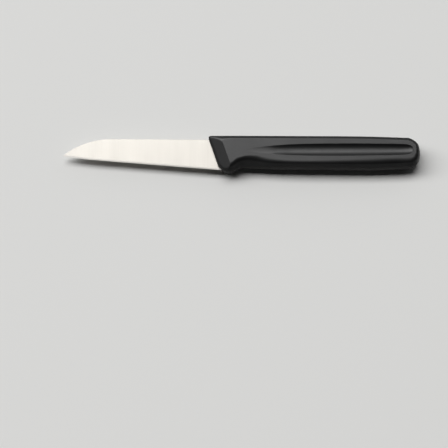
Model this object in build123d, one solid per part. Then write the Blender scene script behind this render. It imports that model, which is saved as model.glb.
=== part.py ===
from build123d import *
import os
from math import atan2, cos, degrees, radians, sin, sqrt

# Paring knife lying on the cheek of its handle: X runs from the tip to the butt, Y from the
# cutting edge to the spine, Z up. It is drawn about the middle plane of the blade, with X = 0 at the
# handle's front top corner and Y = 0 on the handle's middle line, and set on its cheek at the end.

# Handle body, moulded plastic
handle_length = 110.6
handle_thickness = 13.0
spine_rise = 9.25
belly_depth = 8.1
butt_reach = 8.2
butt_rise = 8.0
butt_lift = 0.27

# Rounding of the handle's edges: how far it reaches in from the side, and how deep below the cheek
spine_round = 1.8
spine_round_depth = 2.0
belly_round = 5.0

# Slanted front of the handle, with a flat bevel on each cheek
front_lean = 19.3
front_thickness = 7.0
bevel_run = 5.7
front_edge_round = 0.8
front_overrun = 6.0

# Long hollow flute in each cheek
flute_start = 19.8
flute_length = 86.9
flute_width = 6.5
flute_depth = 1.05
flute_rise = 1.8
flute_climb = 0.3

# Blade, stamped sheet ground from spine to edge
blade_reach = 76.8
blade_thickness = 1.4
blade_spine_rise = 7.9
blade_spine_lift = 0.37
blade_edge_drop = 8.3
edge_lift = 5.28
point_length = 26.0
tip_drop = 0.85
edge_curve_length = 19.0
tip_round = 0.35
edge_thickness = 0.26
edge_bevel_height = 0.7
edge_bevel_rise = 0.1
edge_overrun = 0.5
stone_reach_share = 4

# Tang, the part of the blade inside the handle
heel_embed = 1.8
tang_root = 0.9
tang_length = 68.0
tang_height = 8.4
tang_end_height = 6.8
tang_lift = 0.4
tang_corner = 1.5
tang_hole = 4.0
tang_hole_shares = (0.3, 0.72)

# Side view of the handle as shares. Spine: along the length, height over the middle line, and width
# and depth of the rounding there as a share of the spine's.
spine_shares = (
    (0.0, 1.03, 1.9, 1.5),
    (0.03, 1.017, 1.85, 1.45),
    (0.06, 1.005, 1.4, 1.2),
    (0.09, 1.0, 1.05, 1.0),
    (0.16, 0.997, 1.0, 1.0),
    (0.3, 0.99, 1.0, 1.0),
    (0.45, 0.982, 1.0, 1.0),
    (0.62, 0.974, 1.0, 1.0),
    (0.76, 0.952, 1.0, 1.0),
    (0.87, 0.911, 1.0, 1.0),
)

# Belly from the guard's drop over the finger hollow to the butt: along the length, depth under the
# middle line, and width of the rounding there as a share of belly_round.
belly_shares = (
    (0.03, 0.7, 0.78),
    (0.056, 0.93, 0.78),
    (0.066, 1.09, 0.78),
    (0.087, 1.216, 0.78),
    (0.11, 1.165, 0.8),
    (0.133, 1.01, 0.86),
    (0.152, 0.9, 1.0),
    (0.18, 0.876, 1.16),
    (0.225, 0.912, 1.12),
    (0.293, 0.94, 0.88),
    (0.41, 0.952, 0.7),
    (0.6, 0.986, 0.8),
    (0.76, 0.998, 0.96),
    (0.87, 0.955, 1.0),
)

# Round of the butt, from spine to belly: share of its reach, and of its rise over its own middle
butt_shares = (
    (0.3, 0.945),
    (0.66, 0.79),
    (0.88, 0.56),
    (0.985, 0.21),
    (0.998, -0.2),
    (0.912, -0.535),
    (0.7, -0.775),
    (0.36, -0.935),
)

# Flute from its pointed front to its round rear: along its length, share of its full depth
flute_shares = (
    (-0.04, -0.12),
    (0.09, 0.2),
    (0.2, 0.54),
    (0.32, 0.87),
    (0.56, 1.0),
    (0.8, 0.93),
    (0.925, 0.76),
)

# Number of outlines between the cheek's flat and the middle plane
levels = 9

half_thickness = handle_thickness / 2
half_blade = blade_thickness / 2
ground_height = blade_edge_drop + blade_spine_rise
grind_slope = (blade_thickness - edge_thickness) / 2 / ground_height

# Top corner of the slanted front, and the directions down along it and square back from it
front_corner = Vector(0, spine_rise)
front_down = Vector(sin(radians(front_lean)), -cos(radians(front_lean)))
front_back = Vector(cos(radians(front_lean)), sin(radians(front_lean)))


def rim():
    """Points of the handle's side view, each with the way in and the width and depth of its rounding."""
    places = []
    down = Vector(0, -1)
    up = Vector(0, 1)
    for along_share, rise_share, width_share, drop_share in spine_shares:
        point = Vector(along_share * handle_length, rise_share * spine_rise)
        places.append((point, down, width_share * spine_round, drop_share * spine_round_depth))
    front, _, width, depth = places[0]
    places.insert(0, (front - Vector(front_overrun, 0), down, width, depth))
    for reach_share, rise_share in butt_shares:
        outward = Vector(reach_share * butt_reach, rise_share * butt_rise)
        point = Vector(handle_length - butt_reach, butt_lift) + outward
        under_share = (1 - rise_share) / 2
        width = spine_round + (belly_round - spine_round) * under_share**2
        depth = spine_round_depth + (half_thickness - spine_round_depth) * under_share
        places.append((point, -outward.normalized(), width, depth))
    for along_share, depth_share, width_share in reversed(belly_shares):
        point = Vector(along_share * handle_length, -depth_share * belly_depth)
        places.append((point, up, width_share * belly_round, half_thickness))
    guard, _, width, depth = places[-1]
    places.append((Vector(-front_overrun, guard.Y / 2), up, width, depth))
    return places


def outline_at(height, places):
    """The handle's outline at a height over the middle plane, drawn in by its elliptical rounding."""
    below = half_thickness - abs(height)
    drawn = []
    for point, inward, width, depth in places:
        left = max(depth - below, 0) / depth
        drawn.append(point + inward * (width * (1 - sqrt(1 - left**2))))
    curve = Spline(*drawn)
    face = make_face([curve, Line(curve @ 1, curve @ 0)])
    return Pos(0, 0, height) * face


def handle_blank():
    """The moulded body before its front is cut: flat cheeks, with the outline swelling between them."""
    places = rim()
    sections = []
    for step in range(-levels, levels + 1):
        height = half_thickness * sin(radians(90 * step / levels))
        sections.append(outline_at(height, places))
    return loft(sections)


def cut_front(body):
    """Trim the slanted front and the bevel that leads from it up to each cheek."""
    body = split(body, Plane(front_corner, x_dir=front_down, z_dir=front_back), Keep.TOP)
    bevel_rise = (handle_thickness - front_thickness) / 2
    for side in (-1, 1):
        start = front_corner + Vector(0, 0, side * front_thickness / 2)
        slope = front_back * bevel_run + Vector(0, 0, side * bevel_rise)
        outward = front_down.cross(slope) * side
        body = split(body, Plane(start, x_dir=front_down, z_dir=outward), Keep.BOTTOM)
    facets = body.faces().filter_by(GeomType.PLANE).sort_by(Axis.X)[:3]
    return fillet(facets.edges(), front_edge_round)


def flute(side):
    """The tool that hollows one cheek: a long spindle of revolution lying above it."""
    radius = ((flute_width / 2) ** 2 + flute_depth**2) / (2 * flute_depth)
    clearance = radius - flute_depth
    drawn = []
    for along_share, depth_share in flute_shares:
        drawn.append((along_share * flute_length, clearance + depth_share * flute_depth))
    back = Spline(*drawn)
    rear = TangentArc(back @ 1, (flute_length, clearance), tangent=back % 1)
    ends = Polyline(rear @ 1, (flute_length, 0), (drawn[0][0], 0), back @ 0)
    spindle = revolve(make_face([back, rear, *ends.edges()]), Axis.X)
    front = Pos(flute_start, flute_rise - flute_climb, side * (half_thickness + clearance))
    return front * Rot(0, 0, degrees(atan2(flute_climb, flute_length))) * spindle


def on_heel(height):
    """Point on the blade's slanted rear end, just behind the handle's front, at a height."""
    start = front_corner + front_back * heel_embed
    return start + front_down * ((start.Y - height) / cos(radians(front_lean)))


def blade_lines():
    """Straight runs of the blade's spine and cutting edge, each from the handle to where it curves."""
    spine_start = on_heel(blade_spine_rise)
    spine_end = Vector(point_length - blade_reach, blade_spine_rise + blade_spine_lift)
    edge_start = on_heel(-blade_edge_drop)
    edge_end = Vector(edge_curve_length - blade_reach, edge_lift - blade_edge_drop)
    return Line(spine_start, spine_end), Line(edge_start, edge_end)


def blade_outline():
    """Side view of the blade: straight spine and edge that curve together at the point."""
    spine, edge = blade_lines()
    tip = Vector(-blade_reach, -tip_drop)
    spine_curve = TangentArc(spine @ 1, tip, tangent=spine % 1)
    edge_curve = TangentArc(edge @ 1, tip, tangent=edge % 1)
    rear = Line(spine @ 0, edge @ 0)
    face = make_face([spine, spine_curve, edge_curve, edge, rear])
    return fillet(face.vertices().sort_by(Axis.X)[0], tip_round)


def tang_outline():
    """Side view of the tang, which starts inside the blade's rear end and narrows to its own."""
    root = Vector(tang_root, 0)
    top_root = on_heel(tang_lift + tang_height / 2) - root
    foot_root = on_heel(tang_lift - tang_height / 2) - root
    top_end = Vector(tang_length, tang_lift + tang_end_height / 2)
    foot_end = Vector(tang_length, tang_lift - tang_end_height / 2)
    face = make_face(Polyline(top_root, top_end, foot_end, foot_root, close=True))
    return fillet(face.vertices().sort_by(Axis.X)[-2:], tang_corner)


def grind(body, side):
    """Grind one face of the blade, flat from the spine over the heel down to the edge."""
    edge = blade_lines()[1]
    start = edge @ 0 + Vector(0, 0, side * edge_thickness / 2)
    upward = Vector(0, ground_height, side * grind_slope * ground_height)
    outward = (edge % 0).cross(upward) * -side
    return split(body, Plane(start, x_dir=edge % 0, z_dir=outward), Keep.BOTTOM)


def edge_stone(side):
    """What sharpening takes off one side of the cutting edge, swept along its line and curve."""
    edge = blade_lines()[1]
    edge_curve = TangentArc(edge @ 1, Vector(-blade_reach, -tip_drop), tangent=edge % 1)
    start = edge @ 0 - (edge % 0) * edge_overrun
    path = Wire([Line(start, edge @ 1), edge_curve])
    low = edge_thickness / 2 - edge_bevel_rise
    slope = edge_bevel_rise / edge_bevel_height + grind_slope
    reach = edge_bevel_height * stone_reach_share
    clear = half_blade + edge_overrun
    section = Polyline(
        (-edge_overrun, side * (low - slope * edge_overrun)),
        (reach, side * (low + slope * reach)),
        (reach, side * clear),
        (-edge_overrun, side * clear),
        close=True,
    )
    inward = Vector(0, 0, 1).cross(edge % 0) * -1
    return sweep(Plane(start, x_dir=inward, z_dir=-(edge % 0)) * make_face(section), path)


def blade_blank():
    """The finished blade: stamped, ground and sharpened, with its drilled tang."""
    body = extrude(blade_outline(), half_blade, both=True)
    for side in (-1, 1):
        body = grind(body, side)
    for side in (-1, 1):
        body -= edge_stone(side)
    body += extrude(tang_outline(), half_blade, both=True)
    for share in tang_hole_shares:
        body -= Pos(share * tang_length, tang_lift) * Cylinder(tang_hole / 2, blade_thickness)
    return body


handle_body = cut_front(handle_blank())
for side in (-1, 1):
    handle_body -= flute(side)
blade_body = blade_blank()
handle_body -= blade_body

whole = Compound([handle_body, blade_body]).bounding_box()
seat = Pos(-whole.center().X, -whole.center().Y, half_thickness)

os.makedirs("parts", exist_ok=True)
export_step(seat * handle_body, "parts/handle.step")
export_step(seat * blade_body, "parts/blade.step")
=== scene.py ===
import bmesh
import bpy
from math import cos, pi, radians, sin, tan
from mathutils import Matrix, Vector


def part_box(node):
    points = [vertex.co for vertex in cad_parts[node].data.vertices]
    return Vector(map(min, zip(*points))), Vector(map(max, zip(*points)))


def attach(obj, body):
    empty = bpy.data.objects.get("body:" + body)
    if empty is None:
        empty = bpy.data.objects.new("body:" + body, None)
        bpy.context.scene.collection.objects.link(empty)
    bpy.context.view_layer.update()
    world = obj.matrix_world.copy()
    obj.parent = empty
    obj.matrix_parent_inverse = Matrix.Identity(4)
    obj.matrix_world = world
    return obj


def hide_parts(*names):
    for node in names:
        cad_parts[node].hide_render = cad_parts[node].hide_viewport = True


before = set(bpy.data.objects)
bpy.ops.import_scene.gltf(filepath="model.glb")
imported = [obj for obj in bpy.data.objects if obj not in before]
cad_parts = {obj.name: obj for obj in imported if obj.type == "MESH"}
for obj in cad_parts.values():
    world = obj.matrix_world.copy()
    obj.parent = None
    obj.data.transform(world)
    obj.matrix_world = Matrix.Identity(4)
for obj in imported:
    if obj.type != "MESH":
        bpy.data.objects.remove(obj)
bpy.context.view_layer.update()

# Paring knife lying on one cheek of its handle, in metres. X runs from the tip to the butt, Y from the
# cutting edge to the spine, Z up. The handle is drawn from its front top corner and its middle line.

mm = 0.001

# Where the handle's own drawing lies in the frame
handle_low, handle_high = (Vector(corner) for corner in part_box("handle"))
blade_low, blade_high = (Vector(corner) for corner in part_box("blade"))
handle_length = 110.6 * mm
butt_swell = 0.03 * mm
front_x = handle_high.x - handle_length - butt_swell
middle_y = 0.19 * mm
half_thickness = (handle_high.z - handle_low.z) / 2

# Handle body
spine_rise = 9.25 * mm
belly_depth = 8.1 * mm
butt_reach = 8.2 * mm
butt_rise = 8.0 * mm
butt_lift = 0.27 * mm
spine_round = 1.8 * mm
spine_round_depth = 2.0 * mm
belly_round = 5.2 * mm
round_power = 2.4
spine_power = 1.65

# Slanted front with its bevels
front_lean = radians(19.3)
front_ahead = 0.37 * mm
front_thickness = 6.3 * mm
bevel_run = 6.05 * mm
bevel_blend = 1.5 * mm
spine_blend = 4.4 * mm
guard_blend = 0.6 * mm
front_overrun = 6.0 * mm
front_heart = (15.0 * mm, 3.0 * mm)
front_least_run = 1.0 * mm

# Flute in each cheek
flute_start = 19.8 * mm
flute_length = 86.9 * mm
flute_width = 6.5 * mm
flute_depth = 1.05 * mm
flute_rise = 1.68 * mm
flute_power = 2.4
flute_climb = 0.3 * mm
seam_start = 13.8 * mm
seam_step = 2.0 * mm

# Fineness of the handle's surface
outline_resolution = 14
rounding_rows = 24
cheek_rows = 10
flute_rows = 10
weld_distance = 0.0005 * mm
smooth_angle = radians(40)

# Spine: along the length, height, and width and depth of its rounding, as shares
spine_shares = (
    (0.0, 1.03, 1.9, 1.5),
    (0.03, 1.017, 1.85, 1.45),
    (0.06, 1.005, 1.4, 1.2),
    (0.09, 1.0, 1.05, 1.0),
    (0.16, 0.997, 1.0, 1.0),
    (0.3, 0.99, 1.0, 1.0),
    (0.45, 0.982, 1.0, 1.0),
    (0.62, 0.974, 1.0, 1.0),
    (0.76, 0.952, 1.0, 1.0),
    (0.87, 0.911, 1.0, 1.0),
)

# Round of the butt: shares of its reach and of its rise
butt_shares = (
    (-0.02, 0.99),
    (0.3, 0.968),
    (0.66, 0.79),
    (0.88, 0.56),
    (0.985, 0.21),
    (0.998, -0.2),
    (0.912, -0.535),
    (0.7, -0.775),
    (0.36, -0.935),
)

# Belly from the butt to the guard: along the length, depth, width of its rounding, and the rounding's
# power, as shares
belly_shares = (
    (0.87, 0.955, 1.0, 1.0),
    (0.76, 0.998, 0.96, 1.0),
    (0.6, 0.986, 0.8, 1.0),
    (0.41, 0.952, 0.7, 1.0),
    (0.293, 0.94, 0.88, 0.96),
    (0.225, 0.912, 1.14, 0.76),
    (0.18, 0.876, 1.08, 0.7),
    (0.152, 0.9, 1.0, 0.74),
    (0.133, 1.01, 1.06, 0.8),
    (0.11, 1.165, 0.96, 0.9),
    (0.087, 1.216, 0.82, 1.0),
    (0.066, 1.09, 0.78, 1.0),
    (0.056, 0.93, 0.78, 1.0),
    (0.03, 0.7, 0.78, 1.0),
)

# Loop ahead of the slanted front, which trims it away: shares of the overrun, of the spine's height,
# and of the rounding that draws the loop in
front_shares = (
    (0.5, -0.43, 0.75),
    (1.0, -0.16, 0.28),
    (1.17, 0.22, -0.1),
    (1.05, 0.6, -0.6),
    (0.75, 0.87, -0.9),
    (0.37, 0.985, -1.0),
)

# Flute: along its length, shares of its full width and of its full depth
flute_widths = (
    (0.0, 0.0),
    (0.09, 0.5),
    (0.2, 0.76),
    (0.32, 0.93),
    (0.56, 1.0),
    (0.8, 0.95),
    (0.925, 0.89),
    (0.97, 0.77),
    (1.0, 0.0),
)
flute_depths = (
    (0.0, 0.0),
    (0.09, 0.06),
    (0.2, 0.48),
    (0.32, 0.86),
    (0.56, 1.0),
    (0.8, 0.97),
    (0.925, 0.92),
    (0.965, 0.78),
    (0.985, 0.5),
    (1.0, 0.0),
)

# Blade: its broken edges, and how far its ground and its honed faces lean
spine_edge_round = 0.16 * mm
spine_edge_steps = 3
spine_edge_profile = 0.5
sheet_edge_share = 0.6
flat_angle = radians(0.3)
facet_angle = radians(5)
ground_most = radians(4)
honed_least = radians(6)
honed_most = radians(13)

# Plastic. A scale is a number of lumps to the metre; a pair is the least and the most.
cloud_scale = 70
cloud_detail = 3
grain_scale = 2600
grain_detail = 2
grain_height = 0.012 * mm
grain_strength = 0.5
plastic_black = (0.003, 0.003, 0.0032)
plastic_grey = (0.0045, 0.0045, 0.0047)
plastic_roughness = (0.41, 0.45)
plastic_ior = 1.53
side_dulling = 0.44
side_facing = (0.5, 0.75)
front_dulling_share = 0.85

# Steel
line_scale = 3200
line_detail = 3
line_stretch = (1, 0.02, 0.02)
line_height = 0.004 * mm
line_strength = 0.4
band_scale = 160
band_detail = 2
band_stretch = (1, 0.12, 0.12)
steel_dark = (0.517, 0.496, 0.458)
steel_light = (0.531, 0.509, 0.47)
# Honed faces along the edge: a much paler steel colour, which is a painted highlight
honed_edge_painted_highlight = (0.9, 0.875, 0.83)
steel_roughness = (0.42, 0.5)

# Floor
floor_half = 20.0
floor_colour = (0.73, 0.73, 0.717)
floor_roughness = 0.7
floor_specular = 0.2

# Most noise lies between these two values
noise_range = (0.3, 0.7)

# Camera at the photograph's angle, and the light
photo_pixels = 448
camera_elevation = radians(82)
camera_distance = 850 * mm
camera_target = Vector((-9.16, -36.51, 6.5)) * mm
focal_pixels = 1628.8
sensor_width = 36.0
light_distance = 9.0
high_lean = radians(22.5)
high_half_angle = radians(11.5)
high_left = radians(-60)
high_right = radians(10)
high_radiance = 7.7
low_lean = radians(54)
low_half_angle = radians(20)
low_left = radians(-45)
low_right = radians(60)
low_radiance = 0.42
room_grey = 0.02


def handle_outline():
    """The handle's side view as a closed loop. Each point carries its way in and its rounding, which
    is a width, a depth and a power."""
    points = []
    for along_share, rise_share, width_share, drop_share in spine_shares:
        place = Vector((along_share * handle_length, rise_share * spine_rise))
        width = width_share * spine_round
        depth = drop_share * spine_round_depth
        points.append((place, Vector((0, -1)), (width, depth, spine_power)))
    for reach_share, rise_share in butt_shares:
        outward = Vector((reach_share * butt_reach, rise_share * butt_rise))
        place = Vector((handle_length - butt_reach, butt_lift)) + outward
        under_share = (1 - rise_share) / 2
        width = spine_round + (belly_round - spine_round) * under_share**2
        depth = spine_round_depth + (half_thickness - spine_round_depth) * under_share
        power = spine_power + (round_power - spine_power) * under_share
        points.append((place, -outward.normalized(), (width, depth, power)))
    for along_share, depth_share, width_share, power_share in belly_shares:
        place = Vector((along_share * handle_length, -depth_share * belly_depth))
        rounding = (width_share * belly_round, half_thickness, power_share * round_power)
        points.append((place, Vector((0, 1)), rounding))
    guard_rounding = points[-1][2]
    spine_rounding = points[0][2]
    for ahead_share, rise_share, drawn_share in front_shares:
        place = Vector((-ahead_share * front_overrun, rise_share * spine_rise))
        rounding = guard_rounding if drawn_share > 0 else spine_rounding
        points.append((place, Vector((0, drawn_share)), rounding))

    mesh = bpy.data.meshes.new("handle_outline")
    loop = [(number, (number + 1) % len(points)) for number in range(len(points))]
    mesh.from_pydata([(*place, 0) for place, _, _ in points], loop, [])
    inward = mesh.attributes.new("inward", "FLOAT_VECTOR", "POINT")
    roundings = mesh.attributes.new("rounding", "FLOAT_VECTOR", "POINT")
    for number, (_, way, rounding) in enumerate(points):
        inward.data[number].vector = (*way, 0)
        roundings.data[number].vector = rounding
    outline = bpy.data.objects.new("handle_outline", mesh)
    bpy.context.scene.collection.objects.link(outline)
    return outline


class Rule:
    """Geometry Nodes written as a rule: each call adds a node and gives back its output."""

    def __init__(self, name):
        self.tree = bpy.data.node_groups.new(name, "GeometryNodeTree")
        self.tree.interface.new_socket("Geometry", in_out="OUTPUT", socket_type="NodeSocketGeometry")
        self.tree.interface.new_socket("Geometry", in_out="INPUT", socket_type="NodeSocketGeometry")
        self.start = self.tree.nodes.new("NodeGroupInput")
        self.end = self.tree.nodes.new("NodeGroupOutput")
        self.sizes = {}

    def size(self, name, value, kind="NodeSocketFloat"):
        """A named input of the tree, with the value that the modifier gives it."""
        socket = self.tree.interface.new_socket(name, in_out="INPUT", socket_type=kind)
        self.sizes[socket.identifier] = value
        return self.start.outputs[name]

    def node(self, kind, inputs, **settings):
        """A node of a kind, with its settings and with its inputs linked or set."""
        node = self.tree.nodes.new(kind)
        for name, value in settings.items():
            setattr(node, name, value)
        for name, value in inputs.items():
            if isinstance(value, bpy.types.NodeSocket):
                self.tree.links.new(value, node.inputs[name])
            else:
                node.inputs[name].default_value = value
        return node

    def math(self, operation, *values):
        """One sum on numbers."""
        return self.node("ShaderNodeMath", dict(enumerate(values)), operation=operation).outputs[0]

    def curve(self, value, shares):
        """A number read from a curve drawn through the given shares."""
        node = self.node("ShaderNodeFloatCurve", {"Value": value})
        line = node.mapping.curves[0]
        while len(line.points) < len(shares):
            line.points.new(0.5, 0.5)
        for point, place in zip(line.points, shares):
            point.location = place
        node.mapping.update()
        return node.outputs[0]

    def grow(self, obj):
        """The tree's result on an object, as a plain mesh, with the modifier taken off again."""
        modifier = obj.modifiers.new("rule", "NODES")
        modifier.node_group = self.tree
        for identifier, value in self.sizes.items():
            modifier[identifier] = value
        graph = bpy.context.evaluated_depsgraph_get()
        mesh = bpy.data.meshes.new_from_object(obj.evaluated_get(graph))
        obj.modifiers.remove(modifier)
        return mesh


def handle_rule(material):
    """The moulding: its outline drawn in from the middle plane to the cheeks, trimmed, and fluted."""
    rule = Rule("moulded_handle")
    do = rule.math
    half = rule.size("Half thickness", half_thickness)
    front_half = rule.size("Half thickness of the front", front_thickness / 2)
    run = rule.size("Bevel run", bevel_run)
    blend = rule.size("Bevel blend", bevel_blend)
    lean = rule.size("Front lean", front_lean)
    front_shift = rule.size("Front ahead", front_ahead)
    corner_y = rule.size("Spine rise", spine_rise)
    spine_soft = rule.size("Spine blend", spine_blend)
    guard_soft = rule.size("Guard blend", guard_blend)
    heart_x = rule.size("Heart of the front along", front_heart[0])
    heart_y = rule.size("Heart of the front up", front_heart[1])
    flute_from = rule.size("Flute start", flute_start)
    flute_run = rule.size("Flute length", flute_length)
    flute_wide = rule.size("Flute width", flute_width)
    flute_deep = rule.size("Flute depth", flute_depth)
    flute_y = rule.size("Flute rise", flute_rise)
    climb = rule.size("Flute climb", flute_climb)
    flute_form = rule.size("Power of the flute", flute_power)
    seam_from = rule.size("Seam start", seam_start)
    seam_pace = rule.size("Seam step", seam_step)
    round_rows = rule.size("Rounding rows", rounding_rows, "NodeSocketInt")
    flat_rows = rule.size("Cheek rows", cheek_rows, "NodeSocketInt")
    hollow_rows = rule.size("Flute rows", flute_rows, "NodeSocketInt")
    finish = rule.size("Material", material, "NodeSocketMaterial")

    # The outline as points: smooth through the drawn places
    line = rule.node("GeometryNodeMeshToCurve", {"Mesh": rule.start.outputs["Geometry"]})
    line = rule.node("GeometryNodeCurveSplineType", {"Curve": line.outputs[0]}, spline_type="CATMULL_ROM")
    finer = {0: line.outputs[0], "Resolution": outline_resolution}
    line = rule.node("GeometryNodeSetSplineResolution", finer)
    line = rule.node("GeometryNodeResampleCurve", {"Curve": line.outputs[0]}, mode="EVALUATED")
    size = rule.node("GeometryNodeAttributeDomainSize", {"Geometry": line.outputs[0]}, component="CURVE")
    around = size.outputs["Point Count"]

    # A grid with a column for each point of the outline and a row for each level, cheek to cheek
    side_rows = do("ADD", do("ADD", round_rows, flat_rows), hollow_rows)
    rows = do("ADD", do("MULTIPLY", side_rows, 2), 1)
    columns = do("ADD", around, 1)
    grid = rule.node("GeometryNodeMeshGrid", {"Vertices X": rows, "Vertices Y": columns})
    index = rule.node("GeometryNodeInputIndex", {}).outputs[0]
    row = do("SUBTRACT", do("FLOOR", do("DIVIDE", do("ADD", index, 0.5), columns)), side_rows)
    column = do("FLOORED_MODULO", do("FLOORED_MODULO", index, columns), around)
    side = do("SIGN", row)
    step = do("ABSOLUTE", row)
    past_round = do("SUBTRACT", step, round_rows)
    past_flat = do("SUBTRACT", past_round, flat_rows)
    round_part = do("MINIMUM", do("DIVIDE", step, round_rows), 1)
    flat_part = do("MINIMUM", do("MAXIMUM", do("DIVIDE", past_round, flat_rows), 0), 1)
    hollow_part = do("MAXIMUM", do("DIVIDE", past_flat, hollow_rows), 0)

    def outline_value(field):
        inputs = {"Geometry": line.outputs[0], "Index": column, "Value": field}
        sample = rule.node("GeometryNodeSampleIndex", inputs, data_type="FLOAT_VECTOR", domain="POINT")
        return rule.node("ShaderNodeSeparateXYZ", {0: sample.outputs[0]}).outputs

    def carried(name):
        named = rule.node("GeometryNodeInputNamedAttribute", {"Name": name}, data_type="FLOAT_VECTOR")
        return outline_value(named.outputs[0])

    position = rule.node("GeometryNodeInputPosition", {}).outputs[0]
    place = outline_value(position)
    inward = carried("inward")
    rounding = carried("rounding")

    # The rounding, an ellipse at a power of 2: how far the outline is drawn in at this height
    level = do("MULTIPLY", half, do("SINE", do("MULTIPLY", round_part, pi / 2)))
    below = do("SUBTRACT", half, level)
    left = do("DIVIDE", do("MAXIMUM", do("SUBTRACT", rounding[1], below), 0), rounding[1])
    across = do("MAXIMUM", do("SUBTRACT", 1, do("POWER", left, rounding[2])), 0)
    drawn = do("SUBTRACT", 1, do("POWER", across, do("DIVIDE", 1, rounding[2])))
    drawn = do("MULTIPLY", drawn, rounding[0])
    x = do("ADD", place[0], do("MULTIPLY", inward[0], drawn))
    y = do("ADD", place[1], do("MULTIPLY", inward[1], drawn))

    # The slanted front and its bevels: seen from a point inside, whatever lies past them is drawn back
    slope = do("DIVIDE", run, do("SUBTRACT", half, front_half))
    trim = do("SMOOTH_MAX", do("MULTIPLY", do("SUBTRACT", level, front_half), slope), 0, blend)
    lean_x = do("COSINE", lean)
    lean_y = do("SINE", lean)
    out_x = do("SUBTRACT", x, heart_x)
    out_y = do("SUBTRACT", y, heart_y)
    heart_drop = do("MULTIPLY", do("SUBTRACT", heart_y, corner_y), lean_y)
    room = do("ADD", do("MULTIPLY", heart_x, lean_x), heart_drop)
    room = do("SUBTRACT", do("ADD", room, front_shift), trim)
    ahead = do("ADD", do("MULTIPLY", out_x, lean_x), do("MULTIPLY", out_y, lean_y))
    ahead = do("MAXIMUM", do("MULTIPLY", ahead, -1), front_least_run)
    length = do("SQRT", do("ADD", do("MULTIPLY", out_x, out_x), do("MULTIPLY", out_y, out_y)))
    stop = do("DIVIDE", do("MULTIPLY", length, room), ahead)
    upper = do("GREATER_THAN", out_y, 0)
    soft = do("ADD", guard_soft, do("MULTIPLY", do("SUBTRACT", spine_soft, guard_soft), upper))
    kept = do("DIVIDE", do("SMOOTH_MIN", length, stop, soft), length)
    x = do("ADD", heart_x, do("MULTIPLY", out_x, kept))
    y = do("ADD", heart_y, do("MULTIPLY", out_y, kept))

    # The flute: a trough along a line that climbs a little, with its width and depth at each place
    flute_end = do("ADD", flute_from, flute_run)
    half_wide = do("DIVIDE", flute_wide, 2)

    def within_flute(at_x):
        return do("MINIMUM", do("MAXIMUM", at_x, flute_from), flute_end)

    def flute_share(at_x, shares):
        along = do("DIVIDE", do("SUBTRACT", within_flute(at_x), flute_from), flute_run)
        return do("MAXIMUM", rule.curve(along, shares), 0)

    def flute_middle(at_x):
        short = do("DIVIDE", do("SUBTRACT", flute_end, at_x), flute_run)
        return do("SUBTRACT", flute_y, do("MULTIPLY", climb, short))

    # Its rim nearest to this column. Ahead of it the two halves of the cheek meet at stations on a seam.
    past_flute = do("MULTIPLY", do("GREATER_THAN", x, flute_end), flute_end)
    station = do("ADD", do("SNAP", do("SUBTRACT", x, flute_from), seam_pace), flute_from)
    station = do("MAXIMUM", do("MAXIMUM", station, seam_from), past_flute)
    station = do("MINIMUM", station, flute_end)
    fluted = do("GREATER_THAN", x, flute_from)
    rim_x = do("ADD", station, do("MULTIPLY", do("SUBTRACT", within_flute(x), station), fluted))
    rim_half = do("MULTIPLY", flute_share(rim_x, flute_widths), half_wide)
    rim_y = do("ADD", flute_middle(rim_x), do("MULTIPLY", do("SIGN", do("SUBTRACT", y, flute_y)), rim_half))

    # Across the flat of the cheek to the rim, in steps that are short at both ends
    eased = do("MULTIPLY", flat_part, do("SUBTRACT", 3, do("MULTIPLY", flat_part, 2)))
    eased = do("MULTIPLY", flat_part, eased)
    x = do("ADD", x, do("MULTIPLY", do("SUBTRACT", rim_x, x), eased))
    y = do("ADD", y, do("MULTIPLY", do("SUBTRACT", rim_y, y), eased))

    # Down the flute to its middle line, where both sides meet at the same stations
    sunk = do("SUBTRACT", 1, do("COSINE", do("MULTIPLY", hollow_part, pi / 2)))
    x = do("ADD", x, do("MULTIPLY", do("SUBTRACT", station, x), sunk))
    y = do("ADD", y, do("MULTIPLY", do("SUBTRACT", flute_middle(station), y), sunk))
    wide_here = do("MAXIMUM", do("MULTIPLY", flute_share(x, flute_widths), half_wide), weld_distance)
    off = do("ABSOLUTE", do("DIVIDE", do("SUBTRACT", y, flute_middle(x)), wide_here))
    trough = do("MAXIMUM", do("SUBTRACT", 1, do("POWER", off, flute_form)), 0)
    dip = do("MULTIPLY", do("MULTIPLY", flute_share(x, flute_depths), flute_deep), trough)
    height = do("SUBTRACT", level, do("MULTIPLY", dip, do("GREATER_THAN", hollow_part, 0)))

    # Into the frame
    x = do("ADD", x, front_x)
    y = do("ADD", y, middle_y)
    z = do("ADD", do("MULTIPLY", height, side), half)
    where = rule.node("ShaderNodeCombineXYZ", {0: x, 1: y, 2: z}).outputs[0]
    shape = rule.node("GeometryNodeSetPosition", {"Geometry": grid.outputs["Mesh"], "Position": where})
    welded = {"Geometry": shape.outputs[0], "Distance": weld_distance}
    shape = rule.node("GeometryNodeMergeByDistance", welded)
    shape = rule.node("GeometryNodeRealizeInstances", {"Geometry": shape.outputs[0]})
    shape = rule.node("GeometryNodeSetMaterial", {"Geometry": shape.outputs[0], "Material": finish})
    rule.tree.links.new(shape.outputs[0], rule.end.inputs[0])
    return rule


def close_and_smooth(mesh):
    """Point the faces outwards and shade the mesh smooth, but for its sharp edges."""
    work = bmesh.new()
    work.from_mesh(mesh)
    bmesh.ops.recalc_face_normals(work, faces=work.faces)
    work.to_mesh(mesh)
    work.free()
    mesh.shade_smooth()
    mesh.set_sharp_from_angle(angle=smooth_angle)


def add_piece(name, mesh, node):
    """A finished piece that stands for a CAD node."""
    piece = bpy.data.objects.new(name, mesh)
    bpy.context.scene.collection.objects.link(piece)
    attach(piece, "root")
    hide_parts(node)
    return piece


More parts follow.
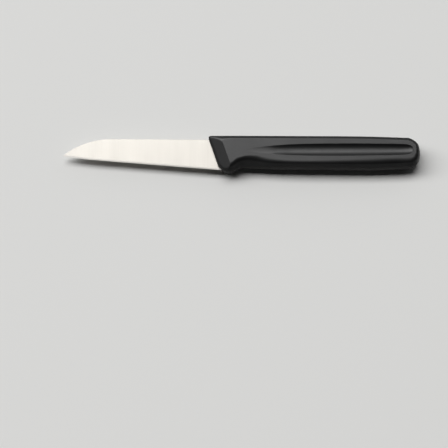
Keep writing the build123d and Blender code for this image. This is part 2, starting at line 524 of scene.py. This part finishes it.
def make_handle(material):
    """The moulded handle with its soft edges."""
    outline = handle_outline()
    mesh = handle_rule(material).grow(outline)
    bpy.data.objects.remove(outline)
    mesh.name = "moulded_handle"
    close_and_smooth(mesh)
    return add_piece("moulded_handle", mesh, "handle")


def make_blade(material):
    """The ground blade: its solid's own faces, with the sheet's stamped edges broken."""
    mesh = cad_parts["blade"].data.copy()
    mesh.name = "ground_blade"
    work = bmesh.new()
    work.from_mesh(mesh)
    bmesh.ops.remove_doubles(work, verts=work.verts, dist=weld_distance)
    bmesh.ops.dissolve_limit(work, angle_limit=flat_angle, verts=work.verts, edges=work.edges)
    middle_z = (blade_low.z + blade_high.z) / 2
    sheet_edge = (blade_high.z - blade_low.z) / 2 * sheet_edge_share
    corners = []
    for edge in work.edges:
        raised = all(abs(corner.co.z - middle_z) > sheet_edge for corner in edge.verts)
        shown = min(corner.co.x for corner in edge.verts) < front_x
        if raised and shown and len(edge.link_faces) == 2 and edge.calc_face_angle() > smooth_angle:
            corners.append(edge)
    rounding = {"offset": spine_edge_round, "segments": spine_edge_steps, "profile": spine_edge_profile}
    bmesh.ops.bevel(work, geom=corners, affect="EDGES", **rounding)
    bmesh.ops.recalc_face_normals(work, faces=work.faces)
    work.to_mesh(mesh)
    work.free()
    # Marks the honed faces, which the steel material paints with a highlight
    honed_highlight_mask = mesh.attributes.new("honed_highlight_mask", "FLOAT", "FACE")
    for face in mesh.polygons:
        honed_highlight_mask.data[face.index].value = float(cos(honed_most) < abs(face.normal.z) < cos(honed_least))
    mesh.materials.clear()
    mesh.materials.append(material)
    mesh.shade_smooth()
    mesh.set_sharp_from_angle(angle=facet_angle)
    for face in mesh.polygons:
        face.use_smooth = abs(face.normal.z) < cos(ground_most)
    return add_piece("ground_blade", mesh, "blade")


class Finish:
    """A material's nodes, each call adding one and giving back its output."""

    def __init__(self, name):
        self.material = bpy.data.materials.new(name)
        self.material.use_nodes = True
        self.tree = self.material.node_tree
        self.shader = self.tree.nodes["Principled BSDF"]
        self.place = self.tree.nodes.new("ShaderNodeTexCoord").outputs["Object"]

    def set(self, **values):
        """Numbers and colours that are the same all over."""
        for name, value in values.items():
            self.shader.inputs[name.replace("_", " ")].default_value = value

    def link(self, output, name):
        """A value that changes over the surface."""
        self.tree.links.new(output, self.shader.inputs[name])

    def noise(self, scale, detail, stretch=(1, 1, 1)):
        """Noise with a number of lumps to the metre, which a share below 1 draws out on its axis."""
        mapping = self.tree.nodes.new("ShaderNodeMapping")
        mapping.inputs["Scale"].default_value = stretch
        self.tree.links.new(self.place, mapping.inputs["Vector"])
        noise = self.tree.nodes.new("ShaderNodeTexNoise")
        noise.inputs["Scale"].default_value = scale
        noise.inputs["Detail"].default_value = detail
        self.tree.links.new(mapping.outputs[0], noise.inputs["Vector"])
        return noise.outputs[0]

    def attribute(self, name):
        """A number that the mesh carries."""
        node = self.tree.nodes.new("ShaderNodeAttribute")
        node.attribute_name = name
        return node.outputs["Fac"]

    def spread(self, value, low, high, own_range=noise_range):
        """A value with its own range, that of noise if none is given, spread between two others."""
        node = self.tree.nodes.new("ShaderNodeMapRange")
        node.interpolation_type = "SMOOTHSTEP"
        node.inputs["From Min"].default_value = own_range[0]
        node.inputs["From Max"].default_value = own_range[1]
        node.inputs["To Min"].default_value = low
        node.inputs["To Max"].default_value = high
        self.tree.links.new(value, node.inputs["Value"])
        return node.outputs[0]

    def math(self, operation, *values):
        """One sum on numbers."""
        node = self.tree.nodes.new("ShaderNodeMath")
        node.operation = operation
        for number, value in enumerate(values):
            if isinstance(value, bpy.types.NodeSocket):
                self.tree.links.new(value, node.inputs[number])
            else:
                node.inputs[number].default_value = value
        return node.outputs[0]

    def sideways(self, front_share):
        """How much the surface faces the spine, the belly or, as a share of that, the front."""
        normal = self.tree.nodes.new("ShaderNodeTexCoord").outputs["Normal"]
        parts = self.tree.nodes.new("ShaderNodeSeparateXYZ")
        self.tree.links.new(normal, parts.inputs[0])
        across = self.math("ABSOLUTE", parts.outputs["Y"])
        ahead = self.math("MULTIPLY", parts.outputs["X"], -front_share)
        return self.math("MAXIMUM", across, ahead)

    def blend(self, value, first, second):
        """A colour between two, by a value."""
        node = self.tree.nodes.new("ShaderNodeMix")
        node.data_type = "RGBA"
        for socket, colour in ((node.inputs[6], first), (node.inputs[7], second)):
            if isinstance(colour, bpy.types.NodeSocket):
                self.tree.links.new(colour, socket)
            else:
                socket.default_value = (*colour, 1)
        self.tree.links.new(value, node.inputs[0])
        return node.outputs[2]

    def bump(self, height, distance, strength):
        """Relief with a height in metres."""
        node = self.tree.nodes.new("ShaderNodeBump")
        node.inputs["Distance"].default_value = distance
        node.inputs["Strength"].default_value = strength
        self.tree.links.new(height, node.inputs["Height"])
        self.link(node.outputs[0], "Normal")


def satin_black_plastic():
    """Black moulding with a fine grain and faint clouds in its gloss, duller on its grained sides."""
    finish = Finish("satin_black_plastic")
    clouds = finish.noise(cloud_scale, cloud_detail)
    grain = finish.noise(grain_scale, grain_detail)
    black = finish.blend(finish.spread(clouds, 0, 1), plastic_black, plastic_grey)
    finish.link(black, "Base Color")
    dulled = finish.spread(finish.sideways(front_dulling_share), 0, side_dulling, side_facing)
    finish.link(finish.math("ADD", finish.spread(clouds, *plastic_roughness), dulled), "Roughness")
    finish.set(IOR=plastic_ior)
    finish.bump(grain, grain_height, grain_strength)
    return finish.material


def ground_steel():
    """Stainless steel with the fine lines of a belt that ran from spine to edge, and a painted highlight: a
    pale colour on the honed faces along the edge.
    """
    finish = Finish("ground_steel")
    lines = finish.noise(line_scale, line_detail, line_stretch)
    bands = finish.noise(band_scale, band_detail, band_stretch)
    honed_highlight_mask = finish.attribute("honed_highlight_mask")
    ground = finish.blend(finish.spread(bands, 0, 1), steel_dark, steel_light)
    # The honed faces get the pale colour: a painted highlight along the edge
    finish.link(finish.blend(honed_highlight_mask, ground, honed_edge_painted_highlight), "Base Color")
    finish.link(finish.spread(lines, *steel_roughness), "Roughness")
    finish.set(Metallic=1.0)
    finish.bump(lines, line_height, line_strength)
    return finish.material


def pale_floor():
    """The plain pale surface that the knife lies on."""
    finish = Finish("pale_floor")
    finish.set(Base_Color=(*floor_colour, 1), Roughness=floor_roughness, Specular_IOR_Level=floor_specular)
    return finish.material


def make_floor():
    """A level floor that reaches past every view."""
    mesh = bpy.data.meshes.new("floor")
    ways = ((-1, -1), (1, -1), (1, 1), (-1, 1))
    corners = [(x_way * floor_half, y_way * floor_half, 0) for x_way, y_way in ways]
    mesh.from_pydata(corners, [], [(0, 1, 2, 3)])
    mesh.materials.append(pale_floor())
    floor = bpy.data.objects.new("floor", mesh)
    bpy.context.scene.collection.objects.link(floor)


def make_lights():
    """A soft box over the spine and the tip, a weaker one lower behind the spine, and a dim room."""
    def soft_box(name, lean, half_angle, left, right, radiance):
        lamp = bpy.data.lights.new(name, "AREA")
        lamp.shape = "RECTANGLE"
        lamp.size = light_distance * (tan(right) - tan(left))
        lamp.size_y = 2 * light_distance * tan(half_angle)
        lamp.energy = radiance * pi * lamp.size * lamp.size_y
        light = bpy.data.objects.new(name, lamp)
        middle_x = (tan(right) + tan(left)) / 2
        light.location = Vector((middle_x, sin(lean), cos(lean))) * light_distance
        light.rotation_euler = (-lean, 0, 0)
        bpy.context.scene.collection.objects.link(light)

    soft_box("high_box", high_lean, high_half_angle, high_left, high_right, high_radiance)
    soft_box("low_box", low_lean, low_half_angle, low_left, low_right, low_radiance)
    world = bpy.data.worlds.new("room")
    world.use_nodes = True
    room = world.node_tree.nodes["Background"]
    room.inputs["Color"].default_value = (room_grey, room_grey, room_grey, 1)
    bpy.context.scene.world = world


def make_camera():
    """A camera that looks steeply down, as the photograph's did."""
    lens = bpy.data.cameras.new("camera")
    lens.sensor_width = sensor_width
    lens.lens = focal_pixels / photo_pixels * sensor_width
    camera = bpy.data.objects.new("camera", lens)
    back = Vector((0, -cos(camera_elevation), sin(camera_elevation)))
    camera.location = camera_target + back * camera_distance
    camera.rotation_euler = (pi / 2 - camera_elevation, 0, 0)
    bpy.context.scene.collection.objects.link(camera)
    bpy.context.scene.camera = camera


make_camera()
make_floor()
make_lights()
make_handle(satin_black_plastic())
make_blade(ground_steel())
bpy.context.scene.view_settings.view_transform = "Standard"
